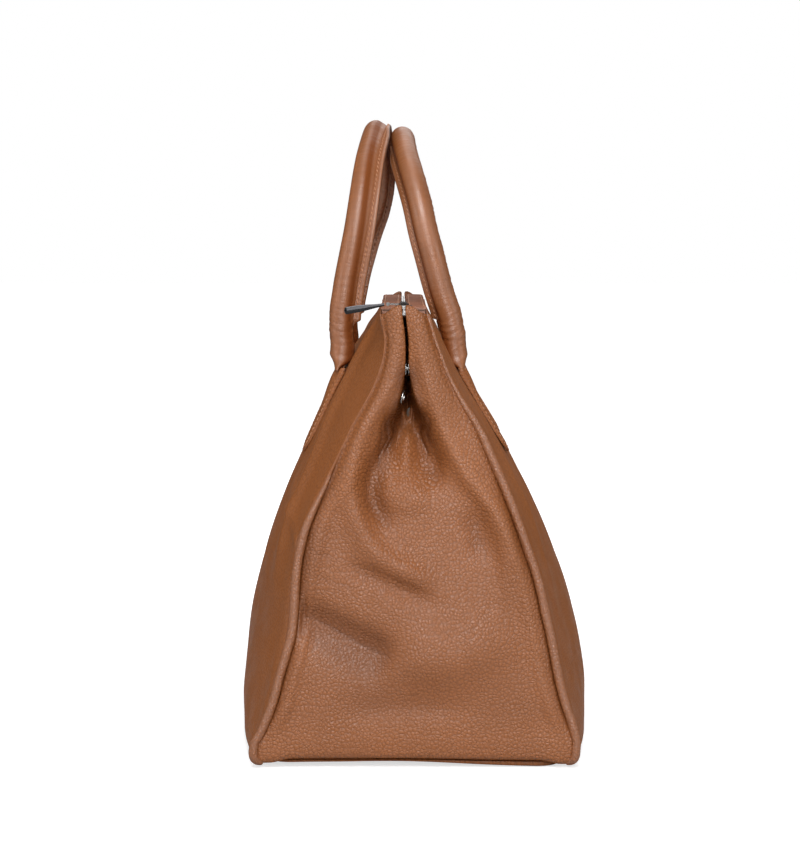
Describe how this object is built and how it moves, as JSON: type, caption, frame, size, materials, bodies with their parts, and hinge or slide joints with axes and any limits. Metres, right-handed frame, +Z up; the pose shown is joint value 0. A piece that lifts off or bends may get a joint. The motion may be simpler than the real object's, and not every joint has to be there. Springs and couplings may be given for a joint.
{
  "type": "handbag",
  "caption": "Soft leather handbag with rolled top handles, folded end gussets held by snaps, piped edges and a zip along its mouth.",
  "frame": {"origin": "middle of the base patch's underside, on the surface that the bag stands on", "axes": "+X along the bag's length towards the near gusset, +Y from the front panel to the back panel, +Z up"},
  "size_m": [0.3426, 0.1964, 0.3524],
  "materials": {
    "tan_leather": "pebbled, soft satin",
    "handle_leather": "pebbled, satin, with a painted edge",
    "tan_piping": "pebbled, satin",
    "lining_cloth": "fine woven, matt",
    "zip_tape_cloth": "woven tape, matt",
    "base_board_fibre": "pressed fibre board, matt",
    "handle_cord": "twisted cord, matt",
    "nickel": "polished nickel",
    "dark_chrome": "polished, dark"
  },
  "bodies": {
    "bag": {"front_panel": "tan_leather", "back_panel": "tan_leather", "near_gusset": "tan_leather", "far_gusset": "tan_leather", "front_lining": "lining_cloth", "back_lining": "lining_cloth", "near_gusset_lining": "lining_cloth", "far_gusset_lining": "lining_cloth", "base_lining": "lining_cloth", "front_near_piping": "tan_piping", "back_near_piping": "tan_piping", "front_far_piping": "tan_piping", "back_far_piping": "tan_piping", "base_panel": "tan_leather", "base_board": "base_board_fibre", "front_near_chape": "tan_leather", "back_near_chape": "tan_leather", "front_far_chape": "tan_leather", "back_far_chape": "tan_leather", "near_zip_end": "zip_tape_cloth", "far_zip_end": "zip_tape_cloth", "near_upper_snap_socket": "nickel", "near_upper_snap_stud": "nickel", "near_lower_snap_stud": "nickel", "near_lower_snap_socket": "nickel", "far_upper_snap_socket": "nickel", "far_upper_snap_stud": "nickel", "far_lower_snap_stud": "nickel", "far_lower_snap_socket": "nickel"},
    "front_handle": {"front_handle_cover": "handle_leather", "front_handle_core": "handle_cord"},
    "back_handle": {"back_handle_cover": "handle_leather", "back_handle_core": "handle_cord"},
    "front_zip_half": {"front_zip_chain": "nickel", "front_zip_tape": "zip_tape_cloth", "front_zip_facing": "tan_leather"},
    "back_zip_half": {"back_zip_chain": "nickel", "back_zip_tape": "zip_tape_cloth", "back_zip_facing": "tan_leather"},
    "slider": {"zip_slider": "nickel"},
    "link": {"puller_link": "nickel"},
    "puller": {"zip_puller": "dark_chrome"}
  },
  "joints": [
    {"name": "front_handle_fold", "type": "hinge", "parent": "bag", "child": "front_handle", "pos_m": [0, -0.0433, 0.208], "axis": [1, 0, 0], "range_deg": [0, 130]},
    {"name": "back_handle_fold", "type": "hinge", "parent": "bag", "child": "back_handle", "pos_m": [0, 0.02867, 0.208], "axis": [-1, 0, 0], "range_deg": [0, 130]},
    {"name": "front_zip_fold", "type": "hinge", "parent": "bag", "child": "front_zip_half", "pos_m": [0, -0.0143, 0.2434], "axis": [-1, 0, 0], "range_deg": [0, 80]},
    {"name": "back_zip_fold", "type": "hinge", "parent": "bag", "child": "back_zip_half", "pos_m": [0, 0.0023, 0.2434], "axis": [1, 0, 0], "range_deg": [0, 80]},
    {"name": "zip_slide", "type": "slide", "parent": "bag", "child": "slider", "axis": [-1, 0, 0], "range_m": [0, 0.287]},
    {"name": "puller_swivel", "type": "hinge", "parent": "slider", "child": "link", "pos_m": [0.1435, -0.006, 0.2469], "axis": [0, 0, 1], "range_deg": [0, 180]},
    {"name": "puller_flip", "type": "hinge", "parent": "link", "child": "puller", "pos_m": [0.1435, -0.0145, 0.2473], "axis": [-1, 0, 0], "range_deg": [0, 150]}
  ]
}
